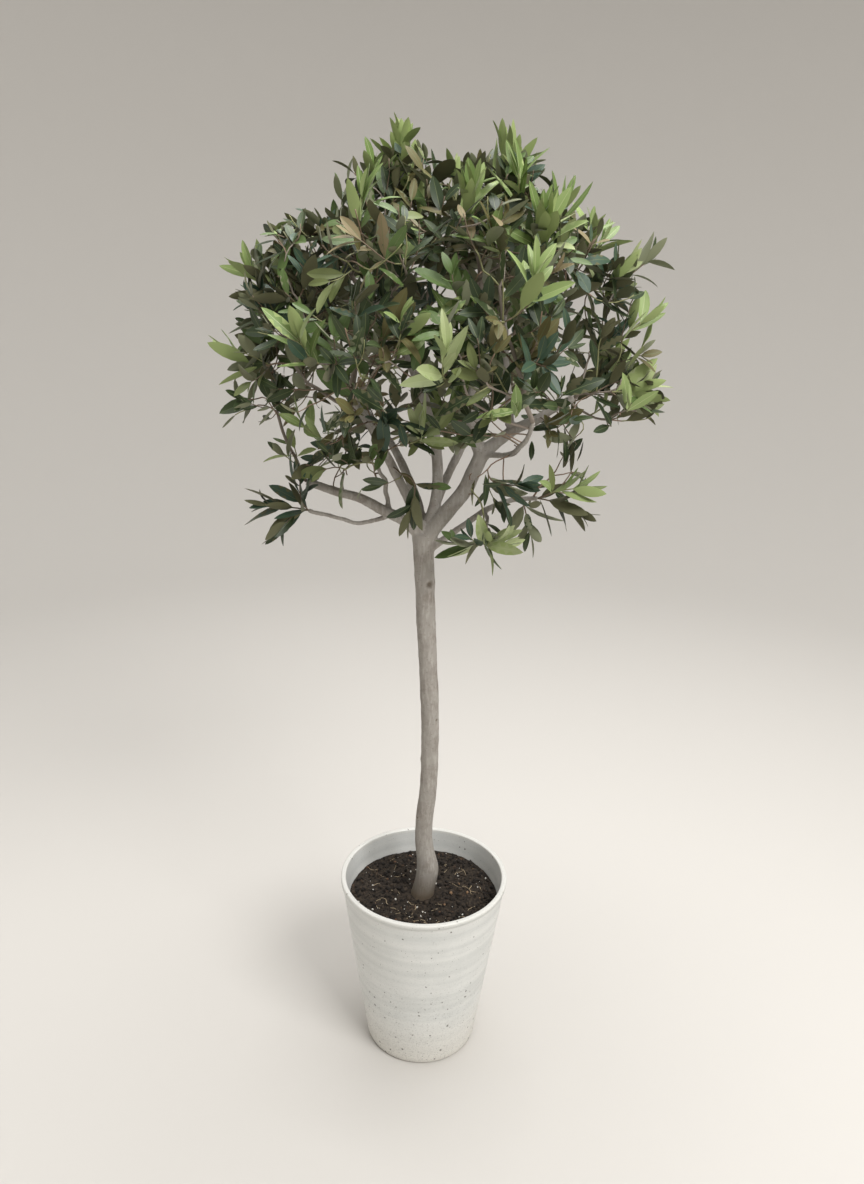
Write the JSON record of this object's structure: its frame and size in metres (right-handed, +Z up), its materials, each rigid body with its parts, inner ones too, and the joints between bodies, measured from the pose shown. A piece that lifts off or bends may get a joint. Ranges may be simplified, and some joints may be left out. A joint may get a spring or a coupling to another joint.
{
  "type": "potted olive tree",
  "caption": "Round-headed olive standard on a clear stem, in a tapered speckled stoneware planter filled with potting soil.",
  "frame": {"origin": "centre of the planter's flat underside, at floor level", "axes": "+Z up along the planter's axis; +X to the right as the plant is looked at from its front, which faces -Y"},
  "size_m": [0.5356, 0.4592, 1.1644],
  "materials": {
    "glaze": "pale grey speckled stoneware glaze, thrown, satin",
    "soil": "dark moist potting compost with white perlite",
    "bark": "smooth grey-brown young bark",
    "leaves": "leathery dark green leaves with olive-grey undersides and bright young tips"
  },
  "bodies": {
    "root": {"pot": "glaze", "soil": "soil", "trunk": "bark", "bough_right": "bark", "bough_left": "bark", "bough_centre": "bark", "bough_centre_left": "bark", "bough_back_left": "bark", "bough_back_right": "bark", "bough_right_outer": "bark", "bough_right_inner": "bark", "bough_right_front": "bark", "bough_right_riser": "bark", "bough_left_riser": "bark", "bough_left_low": "bark", "bough_low_right": "bark", "bough_low_front": "bark", "foliage_left": "leaves", "foliage_right": "leaves", "foliage_front_left": "leaves", "foliage_front_right": "leaves", "foliage_back_left": "leaves", "foliage_back_right": "leaves", "foliage_upper_left": "leaves", "foliage_upper_right": "leaves", "foliage_upper_front_left": "leaves", "foliage_upper_front_right": "leaves", "foliage_upper_back_left": "leaves", "foliage_upper_back_right": "leaves", "foliage_top_left": "leaves", "foliage_top_right": "leaves", "foliage_heart": "leaves", "foliage_low_left": "leaves", "foliage_low_middle": "leaves", "foliage_low_right": "leaves", "foliage_low_front": "leaves", "foliage_low_back": "leaves"}
  },
  "joints": []
}
